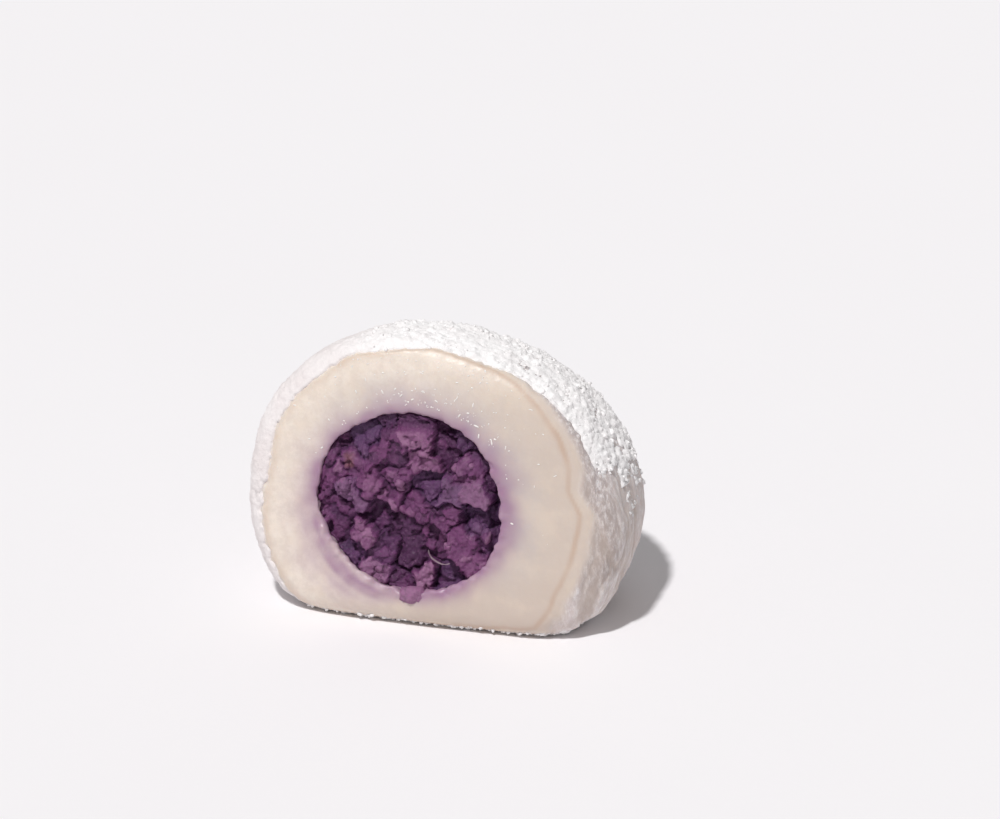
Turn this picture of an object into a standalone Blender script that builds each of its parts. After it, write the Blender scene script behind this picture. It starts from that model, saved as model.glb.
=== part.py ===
"""Half of a stuffed mochi rice cake: a squat, hand-rolled ball of sticky rice dough round a ball of
sweet potato paste, cut in two so that the paste shows.

The cake stands on its own flattened underside at z = 0 and its cut face looks towards -Y. The cut leans
back a little and leaves slightly more than half. Sizes are in metres.
"""

import math

import bmesh
import bpy
from mathutils import Matrix, Vector, noise

MM = 0.001

# The whole cake before the cut: an upright, slumped ball.
CAKE_RADIUS = 24.8 * MM
WIDEST_HEIGHT = 15.0 * MM
RISE = 21.8 * MM            # from the widest height up to the crown
SLUMP = 24.5 * MM           # from the widest height down, before the table flattens it
CROWN_SHIFT = -0.12         # sideways drift of the crown for each metre of height
FOOT_SHIFT = -0.03           # the same below the widest height
BACK_SHIFT = 0.10           # sideways drift of the back for each metre of depth
BASE_ROUND = 3.4 * MM

# The cut.
CUT_FORWARD = 6.0 * MM      # how far the cut passes in front of the ball's centre
CUT_LEAN = math.radians(10.0)
CUT_BULGE = 0.9 * MM        # the soft dough swells towards the middle of the cut face
CUT_ROUND = 3.8 * MM        # how softly the rim rolls from the cut into the skin

# The paste ball, measured in the plane of the cut.
PASTE_RADIUS = 12.8 * MM
PASTE_FLATNESS = 0.945      # its height over its width
PASTE_SIDE = -2.2 * MM
PASTE_HEIGHT = 16.2 * MM
PASTE_BEHIND = 5.0 * MM     # its centre lies this far behind the cut
PASTE_RECESS = 0.6 * MM
PASTE_LUMP = 3.2 * MM       # width of the crumbs that the cut has torn loose
PASTE_RELIEF = 1.0 * MM
CLEFT_STEEPNESS = 1.8       # how fast a crumb rises from the cleft beside it
PASTE_FRONT_ROUND = 1.0 * MM
PASTE_CALM_EDGE = 1.6 * MM  # the relief fades out this close to the dough
PASTE_RAYS_BEHIND = 7.0 * MM   # the points of its mesh are pushed out from this far behind its centre
CLEARANCE = 0.3 * MM        # between the paste and the dough round it

# Unevenness of hand-made dough.
SWELL_SIZE = 15.0 * MM
SWELL_DEPTH = 0.7 * MM
DENT_SIZE = 6.0 * MM
DENT_DEPTH = 0.22 * MM

CAKE_SEGMENTS, CAKE_RINGS = 60, 36
CAVITY_SEGMENTS, CAVITY_RINGS = 36, 22
PASTE_SUBDIVISIONS = 5         # of an icosphere
RIM_ANGLE = math.radians(60.0)   # polar angle of the cut's rim, seen from the ball's centre
RIM_CROWDING = 0.45              # how much closer the points of the mesh lie there
FRONT_CROWDING = 0.2             # the same for the paste's cut surface

CUT_NORMAL = Vector((0.0, -math.cos(CUT_LEAN), math.sin(CUT_LEAN)))
CUT_UP = Vector((0.0, math.sin(CUT_LEAN), math.cos(CUT_LEAN)))
BALL_CENTRE = Vector((0.0, 0.0, WIDEST_HEIGHT))
CUT_MIDDLE = BALL_CENTRE + Vector((0.0, -CUT_FORWARD, 0.0))


def smooth_max(a, b, blend):
    """The larger of two fields, rounded off where they are within blend of each other."""
    overlap = max(blend - abs(a - b), 0.0) / blend
    return max(a, b) + overlap * overlap * blend / 4


def uneven(point, size, depth, seed):
    """Gentle hand-made swelling and denting, from -depth to depth."""
    return depth * noise.noise(point / size + Vector((seed, seed * 1.7, -seed)))


def ball_field(point):
    """Signed distance to the slumped ball, about right near its skin."""
    above = point.z - BALL_CENTRE.z
    drift = CROWN_SHIFT if above > 0 else FOOT_SHIFT
    x = point.x - BACK_SHIFT * (point.y + CUT_FORWARD) - drift * above
    reach = RISE if above > 0 else SLUMP
    ratio = Vector((x / CAKE_RADIUS, point.y / CAKE_RADIUS, above / reach)).length
    shape = (ratio - 1) * CAKE_RADIUS
    shape += uneven(point, SWELL_SIZE, SWELL_DEPTH, 3.1)
    return shape + uneven(point, DENT_SIZE, DENT_DEPTH, 7.7)


def cut_field(point):
    """Signed distance in front of the softly swollen cut face."""
    offset = point - CUT_MIDDLE
    ahead = offset.dot(CUT_NORMAL)
    spread = (offset - ahead * CUT_NORMAL).length / CAKE_RADIUS
    return ahead + CUT_BULGE * (spread * spread - 0.5)


def cake_field(point):
    """Negative inside the cut cake, positive outside it."""
    standing = smooth_max(ball_field(point), -point.z, BASE_ROUND)
    return smooth_max(standing, cut_field(point), CUT_ROUND)


def paste_middle():
    """Centre of the paste ball."""
    up = (PASTE_HEIGHT - CUT_MIDDLE.z) / CUT_UP.z
    in_plane = CUT_MIDDLE + Vector((PASTE_SIDE, 0, 0)) + up * CUT_UP
    return in_plane - PASTE_BEHIND * CUT_NORMAL


def paste_ball_field(point):
    """Signed distance to the paste ball before the cut."""
    offset = point - paste_middle()
    up = offset.dot(CUT_UP)
    round_offset = offset + up * (1 / PASTE_FLATNESS - 1) * CUT_UP
    return round_offset.length - PASTE_RADIUS + uneven(point, 9 * MM, 0.8 * MM, 1.3)


def paste_field(point):
    """Negative inside the paste that is left by a clean cut."""
    front = cut_field(point) + PASTE_RECESS
    return smooth_max(paste_ball_field(point), front, PASTE_FRONT_ROUND)


def crumb_relief(point):
    """Height of the torn crumbs over the paste's cut surface: rounded lumps with clefts between them."""
    nearest, second = noise.voronoi(point / PASTE_LUMP)[0][:2]
    rise = min((second - nearest) * CLEFT_STEEPNESS, 1.0)
    lump = rise * rise * (3 - 2 * rise)
    return PASTE_RELIEF * (lump - 0.8 + 0.7 * noise.noise(point / (1.5 * PASTE_LUMP)))


def tear_front(paste):
    """Roughens the paste's cut surface into crumbs, and leaves its edge against the dough as it is."""
    for vertex in paste.data.vertices:
        under_skin = -paste_ball_field(vertex.co) / PASTE_CALM_EDGE
        is_front = abs(cut_field(vertex.co) + PASTE_RECESS) < PASTE_FRONT_ROUND / 4
        if is_front and under_skin > 0:
            vertex.co += min(under_skin, 1.0) * crumb_relief(vertex.co) * CUT_NORMAL


def cavity_field(point):
    """Negative inside the hollow that holds the paste. It runs out through the cut face."""
    return paste_ball_field(point) - CLEARANCE


def surface_distance(field, centre, direction, reach=45 * MM, halvings=34):
    """How far from centre, along direction, the field turns from inside to outside."""
    low, high = 0.0, reach
    for _ in range(halvings):
        middle = (low + high) / 2
        if field(centre + middle * direction) < 0:
            low = middle
        else:
            high = middle
    return low


def crowded(direction, angle, strength):
    """Turns a direction towards or away from the pole, so that points crowd together at one polar angle."""
    polar = math.acos(max(-1.0, min(1.0, direction.z)))
    moved = polar - strength * math.sin(2 * (polar - angle)) / 2
    flat = Vector((direction.x, direction.y, 0.0))
    if flat.length < 1e-9:
        return direction
    return flat.normalized() * math.sin(moved) + Vector((0.0, 0.0, math.cos(moved)))


def blown_up(name, field, centre, sphere, angle=0.0, strength=0.0):
    """An object from a unit sphere, its pole turned to the cut's normal, whose points are pushed out from
    centre to the field's skin."""
    turn = Vector((0, 0, 1)).rotation_difference(CUT_NORMAL).to_matrix()
    for vertex in sphere.verts:
        ray = turn @ crowded(vertex.co.normalized(), angle, strength)
        vertex.co = centre + ray * surface_distance(field, centre, ray)
    bmesh.ops.recalc_face_normals(sphere, faces=sphere.faces)
    mesh = bpy.data.meshes.new(name)
    sphere.to_mesh(mesh)
    sphere.free()
    mesh.shade_smooth()
    return bpy.data.objects.new(name, mesh)


def globe(segments, rings):
    """A unit sphere of meridians and rings."""
    sphere = bmesh.new()
    bmesh.ops.create_uvsphere(sphere, u_segments=segments, v_segments=rings, radius=1.0)
    return sphere


def even_sphere(subdivisions):
    """A unit sphere of triangles of about one size."""
    sphere = bmesh.new()
    bmesh.ops.create_icosphere(sphere, subdivisions=subdivisions, radius=1.0)
    return sphere


def material(name, colour, roughness):
    """A plain Principled material with a linear RGB colour."""
    made = bpy.data.materials.new(name)
    made.use_nodes = True
    shader = made.node_tree.nodes["Principled BSDF"]
    shader.inputs["Base Color"].default_value = (*colour, 1.0)
    shader.inputs["Roughness"].default_value = roughness
    shader.inputs["Metallic"].default_value = 0.0
    made.diffuse_color = (*colour, 1.0)
    return made


def rice_cake():
    """The dough: the cut cake, hollowed where the paste sits."""
    cake = blown_up("rice_cake", cake_field, BALL_CENTRE, globe(CAKE_SEGMENTS, CAKE_RINGS), RIM_ANGLE, RIM_CROWDING)
    cake.data.materials.append(material("rice_dough", (0.79, 0.70, 0.61), 0.5))
    return cake


def paste_cavity():
    """The cutter for the hollow."""
    cutter = blown_up("cavity_cutter", cavity_field, paste_middle(), globe(CAVITY_SEGMENTS, CAVITY_RINGS))
    cutter.hide_render = True
    cutter.display_type = "WIRE"
    return cutter


def sweet_potato_paste():
    """The paste that shows in the cut."""
    rays_from = paste_middle() - PASTE_RAYS_BEHIND * CUT_NORMAL
    sphere = even_sphere(PASTE_SUBDIVISIONS)
    paste = blown_up("sweet_potato_paste", paste_field, rays_from, sphere, strength=FRONT_CROWDING)
    tear_front(paste)
    paste.data.materials.append(material("sweet_potato", (0.14, 0.05, 0.12), 0.65))
    return paste


def collection(name):
    made = bpy.data.collections.new(name)
    bpy.context.scene.collection.children.link(made)
    return made


def clear_scene():
    for leftover in list(bpy.data.objects):
        bpy.data.objects.remove(leftover, do_unlink=True)


def centre_on_base(objects):
    """The shift that puts the middle of the objects' common box over the origin and its underside at z = 0."""
    graph = bpy.context.evaluated_depsgraph_get()
    corners = []
    for thing in objects:
        seen = thing.evaluated_get(graph)
        corners += [vertex.co.copy() for vertex in seen.to_mesh().vertices]
        seen.to_mesh_clear()
    low = [min(corner[axis] for corner in corners) for axis in range(3)]
    high = [max(corner[axis] for corner in corners) for axis in range(3)]
    shift = Vector((-(low[0] + high[0]) / 2, -(low[1] + high[1]) / 2, -low[2]))
    return Matrix.Translation(shift)


def main():
    clear_scene()
    parts = collection("mochi_rice_cake")
    cutters = collection("cutters")
    cake = rice_cake()
    cavity = paste_cavity()
    paste = sweet_potato_paste()
    parts.objects.link(cake)
    parts.objects.link(paste)
    cutters.objects.link(cavity)
    hollow = cake.modifiers.new("hollow for the paste", "BOOLEAN")
    hollow.operation = "DIFFERENCE"
    hollow.solver = "EXACT"
    hollow.object = cavity
    bpy.context.view_layer.update()
    shift = centre_on_base((cake, paste))
    for thing in (cake, paste, cavity):
        thing.data.transform(shift)


main()
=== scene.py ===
import math
import random

import bmesh
import bpy
import numpy as np
from mathutils import Euler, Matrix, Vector, noise
from mathutils.bvhtree import BVHTree


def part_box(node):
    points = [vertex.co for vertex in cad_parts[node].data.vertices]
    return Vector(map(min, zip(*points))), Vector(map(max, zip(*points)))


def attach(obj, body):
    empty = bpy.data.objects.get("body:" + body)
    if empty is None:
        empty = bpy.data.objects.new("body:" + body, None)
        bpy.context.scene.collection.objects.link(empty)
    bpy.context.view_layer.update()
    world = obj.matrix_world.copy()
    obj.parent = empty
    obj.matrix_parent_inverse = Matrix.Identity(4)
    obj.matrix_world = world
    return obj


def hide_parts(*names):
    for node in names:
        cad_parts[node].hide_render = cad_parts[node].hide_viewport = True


# Looks of a cut mochi rice cake: moist rice dough under a crust of starch powder, with a crumbly
# sweet potato filling that shows in the cut. Lengths are in metres, colours are linear RGB.

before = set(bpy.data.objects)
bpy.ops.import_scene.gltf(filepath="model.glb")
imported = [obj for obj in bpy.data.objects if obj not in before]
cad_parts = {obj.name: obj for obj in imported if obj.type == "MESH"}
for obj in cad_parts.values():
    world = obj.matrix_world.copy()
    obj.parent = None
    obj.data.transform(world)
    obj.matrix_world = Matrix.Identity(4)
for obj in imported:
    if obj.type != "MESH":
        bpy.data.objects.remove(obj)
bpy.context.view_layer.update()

MM = 0.001
NOISE_SEED = 3              # fixes the offsets that noise.noise_vector draws when Blender starts

# Meshes.
DOUGH_VOXEL = 0.32 * MM
CRUST_VOXEL = 0.25 * MM
PASTE_VOXEL = 0.18 * MM
SKIN_SMOOTHING = 26         # passes that take the flat facets out of the CAD skin

# The cut. The two lists are in millimetres and go anticlockwise from the right in even steps: how far
# in from the cake's outline the dried edge runs, and how far the filling's purple has soaked in.
EDGE_INSET = (5.2, 2.7, 0.0, -0.5, 0.9, 2.1, 3.5, 2.5, 0.3, 0.3, 1.2, 6.0)
STAIN_REACH = (2.3, 2.5, 2.8, 2.7, 3.0, 4.0, 1.2, 1.8)
EDGE_WANDER = 0.25 * MM
OUTLINE_STEPS = 40          # directions in which the outline is measured
WELL_INSIDE = 8 * MM        # edge distance that the wall of the hollow counts as
CUT_WAVES, CUT_GRAIN = 0.16 * MM, 0.04 * MM     # relief of the cut
LIP_WIDTH = 1.1 * MM        # torn strip of dough round the filling
LIP_TEARS, LIP_GRAIN = 0.35 * MM, 0.30 * MM     # relief of that strip

# Skin.
POWDER_DENT = 0.45 * MM     # how far the dough lies below thick powder
CREASE_DEPTH = 0.36 * MM
SKIN_WAVES = 0.22 * MM
LOW_FROM, LOW_TO = 30 * MM, 14 * MM     # heights between which creases set in, downwards

# Starch crust.
CRUST_RELIEF = 0.62 * MM    # how high and low its lumps go
CRUST_SUNK = 0.55 * MM      # how far the crust dives into the dough where it ends
BIG_LUMP, SMALL_LUMP, GRAIN = 1.6 * MM, 0.85 * MM, 0.42 * MM
SMALLEST_PATCH = 60         # faces; a smaller island of crust is left out
CRUST_LINE = 21.5 * MM      # the height down to which the crust covers the sides
CRUST_FADE = 9 * MM         # how far below that line it thins out
BARE_STRIP = 3.0 * MM       # smooth skin between the cut's edge and the crust, on the right
FLOOR_GAP = 0.03 * MM       # keeps the crust off the floor
CLUMP_SHAPES = 12
CRUST_CLUMPS, CRUST_CLUMP_RADII = 450, (0.10 * MM, 0.40 * MM)
FRINGE_CLUMPS, FRINGE_CLUMP_RADII = 900, (0.07 * MM, 0.34 * MM)

# Filling.
CLUSTER, CRUMB = 2.9 * MM, 1.2 * MM      # least distance between their middles
LOOSE_CRUMBS = 26
STRAY_CRUMB = ((-0.85, 0.95), (0.05, 1.3), (0.9, 0.9))     # sideways shift and radius of its lumps, in mm
FILLING_RECESS = 0.6 * MM   # how far the crumbs' faces lie behind the cut
MOST_PROUD = 0.35 * MM      # above this the crumbs' tops are pressed down
FILLING_SWELL = 0.35 * MM   # closes the gap to the dough
PASTE_SMOOTHING = 14
BAKED_SPOT = (-8.4 * MM, 4.8 * MM)      # brown spot, sideways and upwards from the filling's middle
FLAKE_PLACE = np.array([4.6, -5.0]) * MM   # middle of the skin flake's arc, from the filling's middle
FLAKE_REACH = 2.0 * MM
FLAKE_START, FLAKE_SWEEP = 190, 105     # degrees of that arc
FLAKE_STEPS, FLAKE_SIDES = 14, 8

# Wet glints.
GLINTS = 190
GLINT_MIDDLE, GLINT_SPREAD = 82, 34     # degrees round the filling, anticlockwise from the right

# Camera and light.
CAMERA_AZIMUTH, CAMERA_ELEVATION = 16.0, 23.0
CAMERA_DISTANCE = 0.75
FIELD_WIDTH = 129.5 * MM    # seen across the picture, at the cake
AIM_RIGHT, AIM_UP = 5.05 * MM, 21.8 * MM
KEY_AZIMUTH, KEY_ELEVATION = -12.0, 62.0
KEY_STRENGTH, KEY_SOFTNESS = 2.5, 4.0
FILL_STRENGTH = 0.32
SENSOR_WIDTH = 36.0         # millimetres
FLOOR_REACH = 4.0


# ---------------------------------------------------------------- numbers and noise

def smoothstep(low, high, values):
    t = np.clip((values - low) / (high - low), 0.0, 1.0)
    return t * t * (3 - 2 * t)


def round_about(values, angle):
    """Smooth blend of values given at even steps of angle, the first of them at 0."""
    place = (angle % (2 * math.pi)) / (2 * math.pi) * len(values)
    index = np.floor(place).astype(int) % len(values)
    share = smoothstep(0, 1, place - np.floor(place))
    values = np.array(values)
    return values[index] * (1 - share) + values[(index + 1) % len(values)] * share


def wavy(points, size, seed):
    """Smooth noise from about -1 to 1 with bumps of the given size."""
    shift = Vector((seed, -1.7 * seed, 2.3 * seed))
    return np.array([noise.noise(Vector(p) + shift) for p in points / size])


def clumpy(points, size, seed):
    """Grains packed side by side: 0 in the gaps between them, about 1 on their tops."""
    shift = Vector((seed, 2.1 * seed, -seed))
    heights = []
    for point in points / size:
        place = Vector(point) + shift
        place += 0.35 * noise.noise_vector(1.9 * place)
        nearest, second = noise.voronoi(place)[0][:2]
        heights.append(min(1.7 * (second - nearest), 1.0) * (1.15 - 0.6 * nearest))
    return np.array(heights)


# ---------------------------------------------------------------- meshes

def coordinates(mesh):
    flat = np.empty(len(mesh.vertices) * 3, np.float32)
    mesh.vertices.foreach_get("co", flat)
    return flat.reshape(-1, 3).astype(float)


def vertex_normals(mesh):
    flat = np.empty(len(mesh.vertices) * 3, np.float32)
    mesh.vertex_normals.foreach_get("vector", flat)
    return flat.reshape(-1, 3).astype(float)


def set_coordinates(mesh, points):
    mesh.vertices.foreach_set("co", points.astype(np.float32).ravel())
    mesh.update()


def paint(mesh, name, values):
    """Stores one number for each vertex, for a material to read."""
    attribute = mesh.attributes.new(name, "FLOAT", "POINT")
    attribute.data.foreach_set("value", np.asarray(values, np.float32))


def add_object(name, mesh):
    thing = bpy.data.objects.new(name, mesh)
    bpy.context.scene.collection.objects.link(thing)
    return thing


def remeshed(name, mesh, voxel, smoothing):
    """A new even mesh over the old one, smoothed by a number of passes."""
    rough = add_object(name + "_rough", mesh)
    remesh = rough.modifiers.new("even mesh", "REMESH")
    remesh.mode = "VOXEL"
    remesh.voxel_size = voxel
    if smoothing:
        smooth = rough.modifiers.new("soften", "SMOOTH")
        smooth.factor = 0.5
        smooth.iterations = smoothing
    graph = bpy.context.evaluated_depsgraph_get()
    made = bpy.data.meshes.new_from_object(rough.evaluated_get(graph))
    made.name = name
    bpy.data.objects.remove(rough, do_unlink=True)
    return made


def mesh_from_arrays(name, points, faces):
    mesh = bpy.data.meshes.new(name)
    mesh.from_pydata([tuple(p) for p in points], [], [tuple(f) for f in faces])
    mesh.update()
    return mesh


def face_islands(work):
    """The groups of faces that hang together."""
    islands = []
    seen = set()
    for start in work.faces:
        if start in seen:
            continue
        seen.add(start)
        island = [start]
        for face in island:
            for edge in face.edges:
                fresh = [other for other in edge.link_faces if other not in seen]
                seen.update(fresh)
                island.extend(fresh)
        islands.append(island)
    return islands


def keep_faces(mesh, wanted):
    """Deletes the faces that have no wanted vertex, and then what is left of them in tiny patches."""
    work = bmesh.new()
    work.from_mesh(mesh)
    lost = [face for face in work.faces if not any(wanted[v.index] for v in face.verts)]
    bmesh.ops.delete(work, geom=lost, context="FACES")
    tiny = [island for island in face_islands(work) if len(island) < SMALLEST_PATCH]
    bmesh.ops.delete(work, geom=[face for island in tiny for face in island], context="FACES")
    work.to_mesh(mesh)
    work.free()
    mesh.update()


def add_to_mesh(mesh, other):
    """Joins another mesh to the end of this one, and removes that other."""
    work = bmesh.new()
    work.from_mesh(mesh)
    work.from_mesh(other)
    work.to_mesh(mesh)
    work.free()
    bpy.data.meshes.remove(other)


def unit_ball(subdivisions):
    """Points and faces of a ball of triangles."""
    work = bmesh.new()
    bmesh.ops.create_icosphere(work, subdivisions=subdivisions, radius=1.0)
    points = np.array([v.co for v in work.verts])
    faces = np.array([[v.index for v in f.verts] for f in work.faces])
    work.free()
    return points, faces


def knobbly(ball, rng, roughness):
    """The ball's points pushed in and out, so that it looks broken off."""
    seed = rng.uniform(0, 100)
    push = 1 + roughness * wavy(ball, 0.9, seed) + 0.5 * roughness * wavy(ball, 0.4, seed + 9)
    return ball * push[:, None]


def turned_and_stretched(points, rng, radius, stretch):
    scale = [radius * rng.uniform(1 - stretch, 1 + stretch) for _ in range(3)]
    turn = Euler([rng.uniform(0, 2 * math.pi) for _ in range(3)]).to_matrix()
    return (points * scale) @ np.array(turn).T


def tube_faces(steps, sides):
    """The faces of a closed tube whose points come ring after ring."""
    faces = []
    for i in range(steps):
        here, there = i * sides, (i + 1) * sides
        for j in range(sides):
            k = (j + 1) % sides
            faces.append((here + j, here + k, there + k, there + j))
    faces.append(tuple(range(sides))[::-1])
    faces.append(tuple(steps * sides + j for j in range(sides)))
    return faces


def joined(pieces, faces_of_one):
    """One list of points and one of faces from many copies of the same ball."""
    step = len(pieces[0])
    points = np.concatenate(pieces)
    faces = np.concatenate([faces_of_one + i * step for i in range(len(pieces))])
    return points, faces


# ---------------------------------------------------------------- the cut, read from the frame

class Cut:
    """The plane of the cut and the outline of the cake in it, worked out from the CAD cake."""

    def __init__(self, cake, paste_low, paste_high):
        self.paste_radius = (paste_high.x - paste_low.x) / 2
        self.flatness = (paste_high.z - paste_low.z) / (paste_high.x - paste_low.x)
        self.paste_centre = (paste_low + paste_high) / 2
        self.paste_centre.y = paste_high.y - self.paste_radius
        front = [
            face for face in cake.data.polygons
            if face.normal.y < -0.9 and face.center.y < self.paste_centre.y - self.paste_radius / 4
        ]
        area = sum(face.area for face in front)
        self.normal = sum((face.normal * face.area for face in front), Vector()).normalized()
        self.point = sum((face.center * face.area for face in front), Vector()) / area
        self.up = (Vector((0, 0, 1)) - self.normal.z * self.normal).normalized()
        self.side = self.up.cross(self.normal)
        self.find_outline(coordinates(cake.data))
        depth = (self.point - self.paste_centre).dot(self.normal)
        self.hole_radius = math.sqrt(self.paste_radius ** 2 - depth ** 2)
        self.hole_centre = self.paste_centre + depth * self.normal

    def in_plane(self, points, origin):
        """Along the cut sideways and upwards, and ahead of it, from the origin."""
        offset = points - np.array(origin)
        return offset @ self.side, offset @ self.up, (points - np.array(self.point)) @ self.normal

    def find_outline(self, points):
        """Radius of the cake's outline round the middle of the cut, at evenly spaced angles."""
        across, along, ahead = self.in_plane(points, self.point)
        near = ahead > -5 * MM
        middle_across = float(across[near].max() + across[near].min()) / 2
        middle_along = float(along[near].max() + along[near].min()) / 2
        self.middle = self.point + middle_across * self.side + middle_along * self.up
        across, along, _ = self.in_plane(points[near], self.middle)
        angle = np.arctan2(along, across)
        radius = np.hypot(across, along)
        index = ((angle + math.pi) / (2 * math.pi) * OUTLINE_STEPS).astype(int) % OUTLINE_STEPS
        self.outline_radius = np.array([radius[index == i].max() for i in range(OUTLINE_STEPS)])
        self.outline_angle = (np.arange(OUTLINE_STEPS) + 0.5) / OUTLINE_STEPS * 2 * math.pi - math.pi

    def edge_distance(self, points):
        """How far inside the cut's dried edge each point lies; negative on the skin outside it."""
        across, along, ahead = self.in_plane(points, self.middle)
        angle = np.arctan2(along, across)
        outline = np.interp(angle, self.outline_angle, self.outline_radius, period=2 * math.pi)
        inset = MM * round_about(EDGE_INSET, angle) + EDGE_WANDER * wavy(points, 5 * MM, 4.0)
        behind = np.clip(-ahead - 1.2 * MM, 0, None)
        return outline - inset - np.hypot(across, along) - behind

    def hole_distance(self, points):
        """How far outside the filling's edge each point of the cut lies."""
        across, along, _ = self.in_plane(points, self.hole_centre)
        return np.hypot(across, along / self.flatness) - self.hole_radius

    def in_hollow(self, points):
        """True for points on the wall of the hollow that holds the filling."""
        distance = np.linalg.norm(points - np.array(self.paste_centre), axis=1)
        _, _, ahead = self.in_plane(points, self.middle)
        return (distance < self.paste_radius + 1.2 * MM) & (ahead < -1.0 * MM)


# ---------------------------------------------------------------- where the powder lies

def powder_thickness(cut, points):
    """0 on bare dough to 1 where the starch lies thick: on the top, the left and the back."""
    uneven = 0.30 * wavy(points, 7 * MM, 2.0) + 0.25 * wavy(points, 2.5 * MM, 5.0)
    uneven += 0.25 * wavy(points, 1.0 * MM, 7.0)
    sway = wavy(points, 13 * MM, 9.0)
    left = smoothstep(-2 * MM, 12 * MM, -points[:, 0] + 8 * MM * sway)
    back = smoothstep(0.0, 8 * MM, points[:, 1] + 6 * MM * sway + 3 * MM * uneven)
    height = points[:, 2] + 6 * MM * uneven + 6 * MM * sway
    upper = smoothstep(CRUST_LINE - CRUST_FADE, CRUST_LINE + 4 * MM, height)
    foot = smoothstep(2.4 * MM, 0.6 * MM, points[:, 2] + 1.5 * MM * uneven)
    amount = np.maximum(upper, np.maximum(left, 0.9 * back) * (0.85 + 0.25 * uneven))
    amount = np.maximum(amount, 0.7 * foot)
    across, along, _ = cut.in_plane(points, cut.middle)
    angle = np.arctan2(along, across)
    strip = BARE_STRIP * smoothstep(math.radians(80), math.radians(15), angle)
    strip *= smoothstep(-1.9, -1.2, angle)
    outside = -cut.edge_distance(points) - strip
    ragged = 0.45 * MM * wavy(points, 1.8 * MM, 6.0) + 0.35 * MM * wavy(points, 0.8 * MM, 2.0)
    off_edge = smoothstep(-0.1 * MM, 1.0 * MM, outside + ragged)
    return amount * off_edge * ~cut.in_hollow(points)


def skin_creases(points):
    """0 to 1, high in the long wrinkles that run down the sides of the ball."""
    heading = np.arctan2(points[:, 1], points[:, 0])
    around = np.stack([np.cos(heading), np.sin(heading), points[:, 2] / (120 * MM)], axis=1)
    bent = around + 0.05 * np.stack([wavy(points, 7 * MM, s) for s in (1.0, 2.0, 3.0)], axis=1)
    wide = np.clip(1 - np.abs(wavy(bent, 0.13, 8.0)) * 3.5, 0, 1) ** 1.5
    narrow = np.clip(1 - np.abs(wavy(bent, 0.055, 4.0)) * 3.0, 0, 1)
    return np.clip(wide + 0.45 * narrow, 0, 1)


# ---------------------------------------------------------------- material building blocks

class Nodes:
    """A material with a Principled shader, and short ways to add nodes to it."""

    def __init__(self, name, roughness, specular=0.5):
        self.material = bpy.data.materials.new(name)
        self.material.use_nodes = True
        self.tree = self.material.node_tree
        self.shader = self.tree.nodes["Principled BSDF"]
        self.shader.inputs["Roughness"].default_value = roughness
        self.shader.inputs["Specular IOR Level"].default_value = specular
        self.place = self.tree.nodes.new("ShaderNodeTexCoord").outputs["Object"]

    def link(self, source, target):
        self.tree.links.new(source, target)

    def attribute(self, name):
        node = self.tree.nodes.new("ShaderNodeAttribute")
        node.attribute_name = name
        return node.outputs["Fac"]

    def noise(self, size, detail=3.0, roughness=0.55, length=None):
        """Noise of the given grain size, drawn out upwards to a length where one is given."""
        stretch = self.tree.nodes.new("ShaderNodeMapping")
        stretch.inputs["Scale"].default_value = (1 / size, 1 / size, 1 / (length or size))
        self.link(self.place, stretch.inputs["Vector"])
        node = self.tree.nodes.new("ShaderNodeTexNoise")
        node.inputs["Scale"].default_value = 1.0
        node.inputs["Detail"].default_value = detail
        node.inputs["Roughness"].default_value = roughness
        self.link(stretch.outputs["Vector"], node.inputs["Vector"])
        return node.outputs["Fac"]

    def spread(self, value, low, high, out_low=0.0, out_high=1.0):
        """Maps low..high of a value to out_low..out_high, smoothly."""
        node = self.tree.nodes.new("ShaderNodeMapRange")
        node.interpolation_type = "SMOOTHSTEP"
        node.inputs["From Min"].default_value = low
        node.inputs["From Max"].default_value = high
        node.inputs["To Min"].default_value = out_low
        node.inputs["To Max"].default_value = out_high
        self.link(value, node.inputs["Value"])
        return node.outputs["Result"]

    def math(self, operation, first, second):
        node = self.tree.nodes.new("ShaderNodeMath")
        node.operation = operation
        for socket, value in zip(node.inputs, (first, second)):
            if isinstance(value, (int, float)):
                socket.default_value = value
            else:
                self.link(value, socket)
        return node.outputs["Value"]

    def mix(self, amount, first, second):
        """Blends two colours, each a tuple or a socket."""
        node = self.tree.nodes.new("ShaderNodeMix")
        node.data_type = "RGBA"
        self.link(amount, node.inputs["Factor"])
        for socket, colour in ((node.inputs[6], first), (node.inputs[7], second)):
            if isinstance(colour, tuple):
                socket.default_value = (*colour, 1.0)
            else:
                self.link(colour, socket)
        return node.outputs[2]

    def bump(self, height, distance, strength=1.0, below=None):
        node = self.tree.nodes.new("ShaderNodeBump")
        node.inputs["Distance"].default_value = distance
        node.inputs["Strength"].default_value = strength
        self.link(height, node.inputs["Height"])
        if below is not None:
            self.link(below, node.inputs["Normal"])
        return node.outputs["Normal"]

    def translucent(self, colour_radius, scale):
        self.shader.inputs["Subsurface Weight"].default_value = 0.2
        self.shader.inputs["Subsurface Radius"].default_value = colour_radius
        self.shader.inputs["Subsurface Scale"].default_value = scale

    def finish(self, colour, normal=None, roughness=None):
        self.link(colour, self.shader.inputs["Base Color"])
        if normal is not None:
            self.link(normal, self.shader.inputs["Normal"])
        if roughness is not None:
            self.link(roughness, self.shader.inputs["Roughness"])
        return self.material


# ---------------------------------------------------------------- materials

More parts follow.
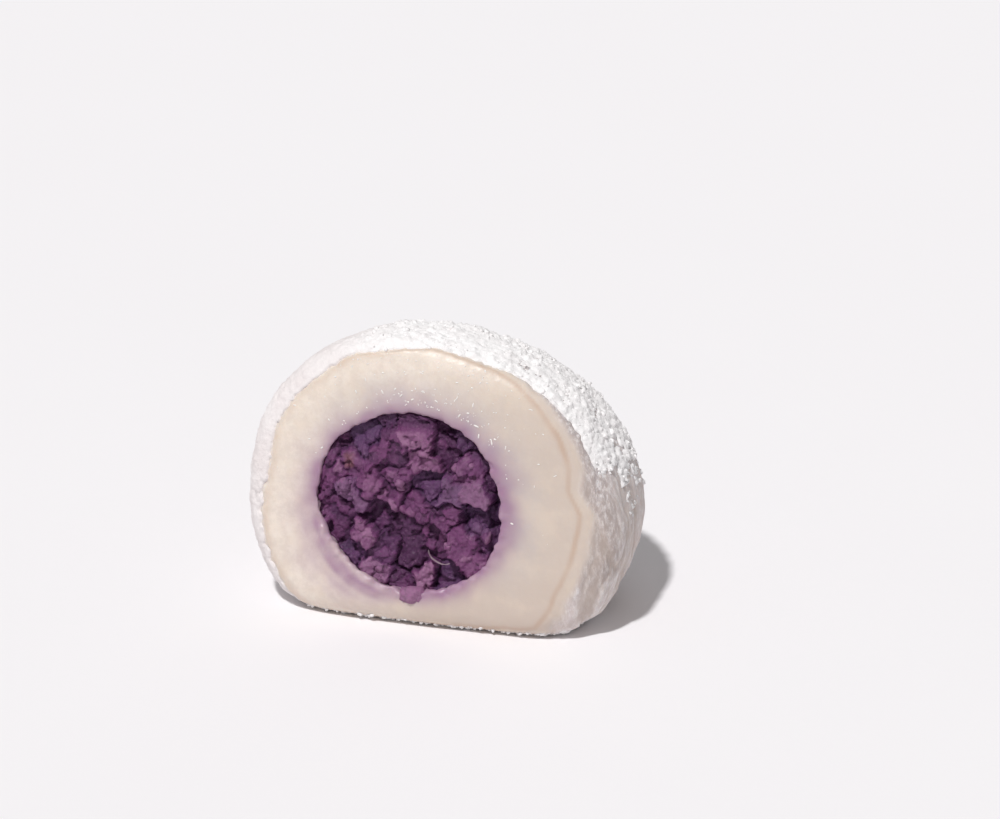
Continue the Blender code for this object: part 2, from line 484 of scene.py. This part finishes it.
CREAM = (0.86, 0.765, 0.68)
CREAM_SHADED = (0.62, 0.518, 0.45)
CREAM_GREY = (0.53, 0.475, 0.475)
CREAM_WARM = (0.78, 0.66, 0.54)
DRIED_EDGE = (0.66, 0.51, 0.41)
DRIED_EDGE_SHADED = (0.55, 0.40, 0.31)
LILAC = (0.36, 0.205, 0.315)
SKIN = (0.66, 0.58, 0.565)
# painted shade: skin colour where the skin turns away from the light, on the right
SKIN_PAINTED_SHADE = (0.42, 0.355, 0.345)
SKIN_DUST = (0.86, 0.815, 0.815)
CREASE_TAN = (0.48, 0.39, 0.34)
POWDER = (0.95, 0.93, 0.93)
POWDER_SHADE = (0.93, 0.90, 0.90)
POWDER_THIN = (0.83, 0.765, 0.76)


def dough_material():
    look = Nodes("moist_rice_dough", 0.42, 0.5)
    blotch = look.noise(6 * MM)
    inner = look.attribute("inward")
    cream = look.mix(look.spread(look.attribute("shaded"), 0.30, 1.0), CREAM, CREAM_SHADED)
    greyish = look.math("MULTIPLY", inner, look.spread(blotch, 0.35, 0.65, 0.6, 1.0))
    cream = look.mix(greyish, cream, CREAM_GREY)
    mottle = look.spread(look.noise(1.6 * MM, 6.0, 0.75), 0.36, 0.64, 0.0, 0.38)
    cream = look.mix(mottle, cream, CREAM_SHADED)
    cream = look.mix(look.spread(look.noise(4 * MM, 3.0), 0.45, 0.7, 0.0, 0.35), cream, CREAM_WARM)
    dried = look.mix(look.attribute("shaded"), DRIED_EDGE, DRIED_EDGE_SHADED)
    cream = look.mix(look.attribute("dried_edge"), cream, dried)
    cream = look.mix(look.attribute("stain"), cream, LILAC)
    streaks = look.noise(0.6 * MM, 6.0, 0.75, length=1.6 * MM)
    dust = look.spread(streaks, 0.40, 0.72)
    # painted shade on the right-hand skin, where it turns away from the light
    skin = look.mix(look.attribute("turned_shade"), SKIN, SKIN_PAINTED_SHADE)
    skin = look.mix(dust, skin, SKIN_DUST)
    skin = look.mix(look.attribute("crease"), skin, CREASE_TAN)
    colour = look.mix(look.attribute("skin"), cream, skin)
    fine = look.noise(0.4 * MM, 5.0, 0.7)
    normal = look.bump(fine, 0.08 * MM, 0.6)
    gloss = look.spread(look.noise(1.2 * MM, 4.0), 0.35, 0.7, 0.28, 0.55)
    roughness = look.math("MAXIMUM", gloss, look.math("MULTIPLY", look.attribute("skin"), 0.85))
    look.translucent((1.0, 0.72, 0.5), 2 * MM)
    return look.finish(colour, normal, roughness)


def powder_material(name):
    look = Nodes(name, 1.0, 0.1)
    patches = look.spread(look.noise(2.4 * MM, 4.0, 0.6), 0.35, 0.65)
    colour = look.mix(patches, POWDER_SHADE, POWDER)
    colour = look.mix(look.attribute("thin"), colour, POWDER_THIN)
    grains = look.noise(0.22 * MM, 3.0, 0.7)
    lumps = look.noise(0.6 * MM, 4.0, 0.65)
    normal = look.bump(grains, 0.10 * MM, 0.6, look.bump(lumps, 0.25 * MM, 0.6))
    return look.finish(colour, normal)


PURPLE_DARK = (0.078, 0.016, 0.074)
PURPLE = (0.175, 0.044, 0.148)
PURPLE_PALE = (0.33, 0.145, 0.275)
PURPLE_BLUE = (0.100, 0.040, 0.125)
ORANGE_BROWN = (0.26, 0.11, 0.05)
# near-white colour of the wet beads: a painted highlight besides their real gloss
GLINT = (0.86, 0.82, 0.78)
GLINT_BRIGHT = (0.93, 0.91, 0.89)
FLAKE = (0.50, 0.40, 0.42)
FLAKE_STAINED = (0.24, 0.14, 0.20)
FLOOR = (0.910, 0.890, 0.905)
FLOOR_SHADE = (0.895, 0.872, 0.888)


def filling_material():
    look = Nodes("crumbly_sweet_potato", 0.5, 0.5)
    # the tone attribute holds random tone together with painted light on high crumbs and painted shade in
    # deep places
    tone = look.attribute("tone")
    cool = look.attribute("cool")
    grain = look.noise(0.45 * MM, 4.0, 0.65)
    colour = look.mix(look.spread(tone, 0.0, 0.6), PURPLE_DARK, PURPLE)
    colour = look.mix(look.spread(tone, 0.55, 1.0), colour, PURPLE_PALE)
    colour = look.mix(look.math("MULTIPLY", cool, 0.7), colour, PURPLE_BLUE)
    colour = look.mix(look.spread(grain, 0.55, 0.75, 0.0, 0.45), colour, PURPLE_PALE)
    colour = look.mix(look.spread(grain, 0.42, 0.25, 0.0, 0.5), colour, PURPLE_DARK)
    colour = look.mix(look.attribute("baked_spot"), colour, ORANGE_BROWN)
    normal = look.bump(look.noise(0.20 * MM, 3.0, 0.7), 0.14 * MM, 1.0, look.bump(grain, 0.25 * MM, 0.9))
    roughness = look.spread(look.noise(0.5 * MM, 3.0), 0.35, 0.65, 0.28, 0.62)
    look.translucent((0.8, 0.3, 0.7), 1 * MM)
    return look.finish(colour, normal, roughness)


def wet_material():
    look = Nodes("wet_starch_glint", 0.08, 0.8)
    # near-white bead colour: painted highlight along with the real gloss
    colour = look.mix(look.noise(1 * MM), GLINT, GLINT_BRIGHT)
    return look.finish(colour)


def flake_material():
    look = Nodes("dough_skin_sliver", 0.35, 0.5)
    colour = look.mix(look.noise(0.5 * MM, 4.0), FLAKE_STAINED, FLAKE)
    return look.finish(colour)


def floor_material():
    look = Nodes("pale_floor", 0.75, 0.2)
    colour = look.mix(look.noise(60 * MM, 2.0), FLOOR_SHADE, FLOOR)
    normal = look.bump(look.noise(1.5 * MM, 4.0), 0.05 * MM, 0.3)
    return look.finish(colour, normal)


# ---------------------------------------------------------------- pieces

def dough(cut, cake):
    """The dough itself: smooth cut face, dried edge, stained ring round the filling, creased skin."""
    mesh = remeshed("rice_cake_dough", cake.data.copy(), DOUGH_VOXEL, SKIN_SMOOTHING)
    points, normals = coordinates(mesh), vertex_normals(mesh)
    edge = cut.edge_distance(points)
    hollow = cut.in_hollow(points)
    edge[hollow] = WELL_INSIDE
    on_skin = smoothstep(-0.9 * MM, -2.6 * MM, edge + 0.5 * MM * wavy(points, 2.5 * MM, 3.0))
    on_cut = smoothstep(-2 * MM, 2 * MM, edge) * ~hollow
    powder = powder_thickness(cut, points)
    low = smoothstep(LOW_FROM, LOW_TO, points[:, 2])
    crease = skin_creases(points) * on_skin * low * (1 - 0.6 * powder)
    push = -POWDER_DENT * powder - CREASE_DEPTH * crease
    push += SKIN_WAVES * on_skin * low * wavy(points, 3.5 * MM, 9.0)
    push += on_cut * (CUT_WAVES * wavy(points, 6 * MM, 1.0) + CUT_GRAIN * wavy(points, 1.4 * MM, 2.0))
    lip = np.exp(-(cut.hole_distance(points) / LIP_WIDTH) ** 2)
    push += lip * (LIP_TEARS * wavy(points, 1.5 * MM, 6.0) + LIP_GRAIN * wavy(points, 0.75 * MM, 8.0))
    above = smoothstep(0.2 * MM, 1.5 * MM, points[:, 2])
    moved = points + normals * (push * above)[:, None]
    moved[:, 2] = np.maximum(moved[:, 2], 0.0)
    set_coordinates(mesh, moved)
    paint_dough(cut, mesh, moved, edge, on_skin, crease)
    return finished(mesh, dough_material(), "rice_cake")


def paint_dough(cut, mesh, points, edge, on_skin, crease):
    """Where the dough is stained, dried, in painted shade, creased or skin, for its material."""
    across, along, _ = cut.in_plane(points, cut.hole_centre)
    ring = cut.hole_distance(points)
    angle = np.arctan2(along, across)
    low_left = np.clip(np.cos(angle - math.radians(228)), 0, 1) ** 3
    reach = MM * round_about(STAIN_REACH, angle) * (1 + 0.3 * wavy(points, 3 * MM, 7.0))
    stain = np.exp(-(np.clip(ring, 0, None) / reach) ** 2) * (0.95 + 0.25 * wavy(points, 1.6 * MM, 2.0))
    smear = np.stack([angle * 1.5 * MM, ring, 0 * ring], axis=1)
    stain *= 1 - 0.26 * low_left * (1 + 1.3 * wavy(smear, 0.6 * MM, 5.0))
    leftward = smoothstep(4 * MM, 16 * MM, -across)
    width = 0.28 * MM + 0.45 * MM * leftward + 0.25 * MM * smoothstep(4 * MM, 16 * MM, along)
    dried = np.exp(-(np.clip(edge - 0.1 * MM, 0, None) / width) ** 2)
    dried *= smoothstep(-0.5 * MM, -0.05 * MM, edge)
    dried *= 0.85 - 0.3 * leftward
    paint(mesh, "stain", np.clip(stain, 0, 1) * (1 - on_skin))
    paint(mesh, "dried_edge", dried * (0.8 + 0.35 * wavy(points, 2.5 * MM, 1.0)))
    lower = smoothstep(-5 * MM, -15 * MM, along)
    paint(mesh, "shaded", np.clip(0.85 * smoothstep(-18 * MM, 20 * MM, across) + 0.45 * lower, 0, 1))
    inward = smoothstep(8 * MM, 1 * MM, ring) * smoothstep(-5 * MM, 8 * MM, along + 0.7 * across)
    paint(mesh, "inward", inward)
    paint(mesh, "skin", on_skin)
    # painted shade: the skin just outside the cut on the right, turned away from the light, is darkened
    turned_shade = smoothstep(4 * MM, 14 * MM, across) * smoothstep(9.5 * MM, 4 * MM, -edge)
    turned_shade *= smoothstep(3 * MM, 11 * MM, points[:, 2])
    paint(mesh, "turned_shade", turned_shade * on_skin)
    paint(mesh, "crease", 0.7 * crease)


def crust(cut, cake):
    """The lumpy layer of starch that stands on the skin and dives into it where it ends."""
    mesh = remeshed("starch_crust", cake.data.copy(), CRUST_VOXEL, SKIN_SMOOTHING)
    points, normals = coordinates(mesh), vertex_normals(mesh)
    thick = powder_thickness(cut, points)
    lumps = 0.6 * clumpy(points, BIG_LUMP, 1.0) + 0.5 * clumpy(points, SMALL_LUMP, 3.0) - 0.7
    lumps *= 0.9 + 0.5 * wavy(points, 6 * MM, 5.0)
    lumps += 0.5 * wavy(points, 3 * MM, 2.0) + 0.16 * wavy(points, GRAIN, 6.0)
    shown = smoothstep(0.2, 0.6, thick + 0.5 * lumps) * smoothstep(0.02, 0.12, thick)
    below = smoothstep(CRUST_LINE, CRUST_LINE - CRUST_FADE, points[:, 2])
    back = smoothstep(2 * MM, 10 * MM, points[:, 1]) * below
    calm = np.maximum(smoothstep(6 * MM, 16 * MM, -points[:, 0]), back)
    height = CRUST_RELIEF * lumps * (0.3 + 0.7 * thick) * (1 - 0.65 * calm)
    push = shown * height - (1 - shown) * CRUST_SUNK
    keep = shown > 0.02
    moved = points + normals * push[:, None]
    moved[:, 2] = np.maximum(moved[:, 2], FLOOR_GAP)
    set_coordinates(mesh, moved)
    paint(mesh, "thin", calm * (0.8 + 0.4 * wavy(points, 3 * MM, 7.0)))
    keep_faces(mesh, keep)
    return finished(mesh, powder_material("starch_crust_powder"))


def clump_places(mesh, rng, wanted, fits):
    """Random vertices of the mesh that pass the test, with their normals."""
    points, normals = coordinates(mesh), vertex_normals(mesh)
    allowed = np.flatnonzero(fits(points, normals))
    chosen = [allowed[rng.randrange(len(allowed))] for _ in range(wanted)]
    return points[chosen], normals[chosen]


def clumps(crust_piece, dough_piece):
    """Loose lumps of starch on the crust, and the fringe of it round the foot."""
    rng = random.Random(11)
    ball, faces = unit_ball(2)
    shapes = [knobbly(ball, rng, 0.5) for _ in range(CLUMP_SHAPES)]

    def on_top(points, normals):
        return (normals[:, 2] > 0.1) & (points[:, 2] > 10 * MM) & (points[:, 0] > -11 * MM)

    def at_foot(points, normals):
        return (points[:, 2] > 0.15 * MM) & (points[:, 2] < 0.9 * MM)

    pieces = []
    for mesh, wanted, fits, (smallest, largest) in (
        (crust_piece.data, CRUST_CLUMPS, on_top, CRUST_CLUMP_RADII),
        (dough_piece.data, FRINGE_CLUMPS, at_foot, FRINGE_CLUMP_RADII),
    ):
        for place, normal in zip(*clump_places(mesh, rng, wanted, fits)):
            radius = smallest + (largest - smallest) * rng.random() ** 3
            shape = turned_and_stretched(rng.choice(shapes), rng, radius, 0.3)
            centre = place - normal * radius * 0.1
            centre[2] = max(centre[2], radius * 0.8)
            pieces.append(shape + centre)
    points, faces = joined(pieces, faces)
    points[:, 2] = np.maximum(points[:, 2], 0.0)
    mesh = mesh_from_arrays("starch_clumps", points, faces)
    return finished(mesh, powder_material("starch_clump_powder"))


def spaced_spots(rng, reach, spacing):
    """Random places in a disc, none closer to another than the spacing."""
    spots = []
    misses = 0
    while misses < 400:
        out, turn = reach * math.sqrt(rng.random()), rng.uniform(0, 2 * math.pi)
        spot = np.array([out * math.cos(turn), out * math.sin(turn)])
        if all(np.hypot(*(spot - other)) > spacing for other in spots):
            spots.append(spot)
            misses = 0
        else:
            misses += 1
    return np.array(spots)


def nearest_spot(places, spots):
    """For each place: which spot is nearest, how far it is, and how much farther the next one is."""
    index = np.empty(len(places), int)
    nearest = np.empty(len(places))
    margin = np.empty(len(places))
    for start in range(0, len(places), 4000):
        block = slice(start, start + 4000)
        away = np.linalg.norm(places[block, None] - spots[None], axis=2)
        two = np.sort(away, axis=1)[:, :2]
        index[block] = away.argmin(axis=1)
        nearest[block] = two[:, 0]
        margin[block] = two[:, 1] - two[:, 0]
    return index, nearest, margin


class TornFace:
    """The broken face of the filling: clusters of crumbs at different heights, with clefts between them."""

    def __init__(self, cut, rng):
        self.cut = cut
        self.clusters = spaced_spots(rng, cut.hole_radius + 2 * MM, CLUSTER)
        self.crumbs = spaced_spots(rng, cut.hole_radius + 2 * MM, CRUMB)
        self.cluster_height = np.array([0.4 - 2.2 * rng.random() ** 2 for _ in self.clusters]) * MM
        self.crumb_height = np.array([0.2 - 0.8 * rng.random() ** 2 for _ in self.crumbs]) * MM
        self.cluster_tone = np.array([rng.betavariate(1.5, 1.3) for _ in self.clusters])
        self.crumb_tone = np.array([rng.uniform(-0.18, 0.18) for _ in self.crumbs])
        self.cluster_cool = np.array([max(0.0, rng.uniform(-1.0, 1.0)) for _ in self.clusters])

    def read(self, points):
        """Works out the height, tone, bluishness and cleft at points given in the cake's space, and how
        much painted shade the deep places get. The tone is made paler on higher crumbs, a painted light.
        """
        across, along, _ = self.cut.in_plane(points, self.cut.hole_centre)
        flat = np.stack([across, along, 0 * across], axis=1)
        bent = np.stack([across, along], axis=1)
        for size, amount in ((2.4 * MM, 0.9 * MM), (0.9 * MM, 0.50 * MM), (0.4 * MM, 0.22 * MM)):
            bent += amount * np.stack([wavy(flat, size, 3.0), wavy(flat, size, 8.0)], axis=1)
        cluster, _, cluster_margin = nearest_spot(bent, self.clusters)
        crumb, crumb_out, crumb_margin = nearest_spot(bent, self.crumbs)
        broken = smoothstep(-0.35, 0.25, wavy(flat, 3.5 * MM, 5.0))
        cleft = broken * smoothstep(0.7 * MM, 0.05 * MM, cluster_margin)
        seam = smoothstep(0.35 * MM, 0.0, crumb_margin)
        rim = smoothstep(2.0 * MM, 0.3 * MM, -self.cut.hole_distance(points))
        gap = rim * smoothstep(-0.2, 0.5, np.cos(np.arctan2(along, across) - math.radians(55)))
        height = self.cluster_height[cluster] + self.crumb_height[crumb]
        height -= 0.12 * MM * (crumb_out / CRUMB) ** 2 + 0.10 * MM * seam * broken
        height -= 0.5 * MM * cleft + 1.0 * MM * gap
        height += 0.24 * MM * wavy(points, 1.1 * MM, 2.0) + 0.22 * MM * wavy(points, 0.45 * MM, 4.0)
        height += 0.25 * MM * (rim - gap)
        self.height = np.minimum(height, MOST_PROUD + 0.3 * height)
        self.tone = self.cluster_tone[cluster] + self.crumb_tone[crumb] + 0.12 * wavy(points, 1.5 * MM, 3.0)
        # painted light: higher crumbs are made paler
        self.tone += 0.34 * smoothstep(-0.9 * MM, 0.3 * MM, height) - 0.12
        # painted shade: clefts, the gap at the rim and deep holes, to be darkened in the tone
        self.recess_shade = np.clip(cleft + 0.8 * gap + smoothstep(-0.9 * MM, -1.9 * MM, height), 0, 1)
        self.cool = self.cluster_cool[cluster]


def crumb_shape(ball, rng, radius):
    """A loose crumb: a knobbly ball with ragged sides."""
    points = knobbly(ball, rng, 0.28)
    seed = rng.uniform(0, 100)
    ragged = 1 + 0.10 * wavy(points, 0.45, seed) + 0.06 * wavy(points, 0.2, seed)
    return turned_and_stretched(points * ragged[:, None], rng, radius, 0.25)


def loose_crumbs(cut, face_mesh, rng):
    """Crumbs that lie on the torn face, and one that has strayed onto the dough below it."""
    ball, faces = unit_ball(3)

    def out_in_front(points, normals):
        _, _, ahead = cut.in_plane(points, cut.middle)
        inner = cut.hole_distance(points) < -1.4 * MM
        return inner & (ahead > -1.6 * MM) & (ahead < -0.6 * MM) & (normals @ cut.normal > 0.5)

    pieces = []
    for place, normal in zip(*clump_places(face_mesh, rng, LOOSE_CRUMBS, out_in_front)):
        radius = rng.uniform(0.40, 0.85) * MM
        pieces.append(crumb_shape(ball, rng, radius) + place - 0.35 * radius * normal)
    stray = cut.hole_centre + 0.8 * MM * cut.side - (cut.hole_radius * cut.flatness + 0.1 * MM) * cut.up
    stray += 0.15 * MM * cut.normal
    for shift, radius in STRAY_CRUMB:
        centre = stray + shift * MM * cut.side - 0.25 * abs(shift) * MM * cut.up
        pieces.append(crumb_shape(ball, rng, radius * MM) + np.array(centre))
    return mesh_from_arrays("loose_crumbs", *joined(pieces, faces))


def filling(cut, paste):
    """The sweet potato: the CAD ball with its front broken into ragged clusters of crumbs."""
    rng = random.Random(5)
    mesh = remeshed("sweet_potato_filling", paste.data.copy(), PASTE_VOXEL, PASTE_SMOOTHING)
    points, normals = coordinates(mesh), vertex_normals(mesh)
    torn = TornFace(cut, rng)
    torn.read(points)
    _, _, ahead = cut.in_plane(points, cut.middle)
    front = smoothstep(0.15, 0.6, normals @ cut.normal) * smoothstep(-5 * MM, -3 * MM, ahead)
    push = front * (torn.height - FILLING_RECESS - ahead)
    swelled = points + FILLING_SWELL * (1 - front)[:, None] * normals
    set_coordinates(mesh, swelled + push[:, None] * np.array(cut.normal))
    add_to_mesh(mesh, loose_crumbs(cut, mesh, rng))
    paint_filling(cut, mesh, torn, len(push))
    return finished(mesh, filling_material(), "sweet_potato_paste")


def paint_filling(cut, mesh, torn, first_loose):
    """How pale, bluish or baked each point is; the paleness carries painted light and shade. The points
    from first_loose on are loose crumbs.
    """
    points = coordinates(mesh)
    torn.read(points)
    is_loose = np.arange(len(points)) >= first_loose
    # painted shade darkens the tone in deep places, except on loose crumbs
    tone = np.clip(torn.tone + 0.25 * is_loose, 0, 1) * (1 - 0.85 * torn.recess_shade * ~is_loose)
    is_stray = is_loose & (cut.hole_distance(points) > -1.5 * MM)
    paint(mesh, "tone", np.where(is_stray, 0.95, tone))
    paint(mesh, "cool", torn.cool * ~is_stray)
    spot = cut.hole_centre + BAKED_SPOT[0] * cut.side + BAKED_SPOT[1] * cut.up
    away = np.linalg.norm((points - np.array(spot)) / [1.0, 3.0, 1.7], axis=1)
    away += 0.4 * MM * wavy(points, 0.8 * MM, 1.0)
    paint(mesh, "baked_spot", 0.4 * smoothstep(1.1 * MM, 0.4 * MM, away))


def glint_reach(rng):
    """How far from the filling a glint lies: most of them not far above it."""
    return rng.choice((rng.uniform(1.2, 3.5), rng.uniform(1.2, 9.0), rng.uniform(5, 9))) * MM


def glints(cut, dough_piece):
    """Tiny wet beads and threads on the upper part of the cut, coloured near white as a painted highlight
    besides their gloss.
    """
    rng = random.Random(23)
    ball, faces = unit_ball(2)
    tree = BVHTree.FromObject(dough_piece, bpy.context.evaluated_depsgraph_get())
    pieces = []
    while len(pieces) < GLINTS:
        angle = math.radians(rng.gauss(GLINT_MIDDLE, GLINT_SPREAD))
        out = cut.hole_radius + glint_reach(rng)
        start = (
            cut.hole_centre
            + out * math.cos(angle) * cut.side
            + out * math.sin(angle) * cut.up
            + 8 * MM * cut.normal
        )
        place, _, _, _ = tree.ray_cast(start, -cut.normal)
        if place is None or cut.edge_distance(np.array([place]))[0] < 0.1 * MM:
            continue
        radius = (0.04 + 0.08 * rng.random() ** 2) * MM
        bead = ball * [radius * rng.choice((1.0, 1.4, 2.0, 3.5)), radius, radius]
        turn = Euler((0, rng.uniform(0, math.pi), 0)).to_matrix()
        pieces.append(bead @ np.array(turn).T + np.array(place))
    points, faces = joined(pieces, faces)
    mesh = mesh_from_arrays("moist_glints", points, faces)
    return finished(mesh, wet_material())


def flake(cut):
    """A thin sliver of dough skin caught between two crumbs, low in the filling."""
    ring_angles = np.linspace(0, 2 * math.pi, FLAKE_SIDES, endpoint=False)
    points = []
    for i in range(FLAKE_STEPS + 1):
        share = i / FLAKE_STEPS
        turn = math.radians(FLAKE_START + FLAKE_SWEEP * share)
        middle = FLAKE_PLACE + FLAKE_REACH * np.array([math.cos(turn), math.sin(turn)])
        thick = 0.11 * MM * math.sin(math.pi * (0.06 + 0.88 * share)) ** 0.6
        wave = 0.12 * MM * math.sin(9 * share)
        for angle in ring_angles:
            out = middle * (1 + 0.012 * math.cos(angle))
            place = cut.hole_centre + float(out[0]) * cut.side + float(out[1]) * cut.up
            place += (wave - 0.25 * MM + 2.4 * thick * math.sin(angle)) * cut.normal
            place += thick * math.cos(angle) * cut.up
            points.append(place)
    mesh = mesh_from_arrays("dough_skin_flake", points, tube_faces(FLAKE_STEPS, FLAKE_SIDES))
    return finished(mesh, flake_material())


def finished(mesh, material, replaced=None):
    """Turns a mesh into a piece of the cake."""
    mesh.materials.clear()
    mesh.materials.append(material)
    mesh.shade_smooth()
    piece = add_object(mesh.name, mesh)
    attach(piece, "root")
    if replaced:
        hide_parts(replaced)
    return piece


# ---------------------------------------------------------------- floor, light and camera

def direction(azimuth, elevation):
    """Unit vector from the cake towards a place at this azimuth and elevation."""
    a, e = math.radians(azimuth), math.radians(elevation)
    return Vector((math.sin(a) * math.cos(e), -math.cos(a) * math.cos(e), math.sin(e)))


def floor():
    work = bmesh.new()
    bmesh.ops.create_grid(work, x_segments=8, y_segments=8, size=FLOOR_REACH)
    mesh = bpy.data.meshes.new("floor")
    work.to_mesh(mesh)
    work.free()
    mesh.materials.append(floor_material())
    add_object("floor", mesh)


def lights():
    sun = bpy.data.lights.new("key", "SUN")
    sun.energy = KEY_STRENGTH
    sun.angle = math.radians(KEY_SOFTNESS)
    lamp = add_object("key", sun)
    lamp.rotation_euler = direction(KEY_AZIMUTH, KEY_ELEVATION).to_track_quat("Z", "Y").to_euler()
    world = bpy.data.worlds.new("studio")
    world.use_nodes = True
    background = world.node_tree.nodes["Background"]
    background.inputs["Color"].default_value = (1.0, 1.0, 1.0, 1.0)
    background.inputs["Strength"].default_value = FILL_STRENGTH
    bpy.context.scene.world = world
    bpy.context.scene.view_settings.view_transform = "Standard"


def camera():
    back = direction(CAMERA_AZIMUTH, CAMERA_ELEVATION)
    turn = (-back).to_track_quat("-Z", "Y")
    lens = bpy.data.cameras.new("camera")
    lens.sensor_width = SENSOR_WIDTH
    lens.lens = SENSOR_WIDTH * CAMERA_DISTANCE / FIELD_WIDTH
    lens.clip_start = 0.01
    lens.clip_end = 20.0
    holder = add_object("camera", lens)
    holder.rotation_mode = "QUATERNION"
    holder.rotation_quaternion = turn
    right, up = turn @ Vector((1, 0, 0)), turn @ Vector((0, 1, 0))
    holder.location = CAMERA_DISTANCE * back + AIM_RIGHT * right + AIM_UP * up
    bpy.context.scene.camera = holder


def main():
    noise.seed_set(NOISE_SEED)
    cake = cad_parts["rice_cake"]
    cut = Cut(cake, *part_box("sweet_potato_paste"))
    floor()
    lights()
    camera()
    dough_piece = dough(cut, cake)
    crust_piece = crust(cut, cake)
    clumps(crust_piece, dough_piece)
    filling(cut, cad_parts["sweet_potato_paste"])
    flake(cut)
    glints(cut, dough_piece)


main()
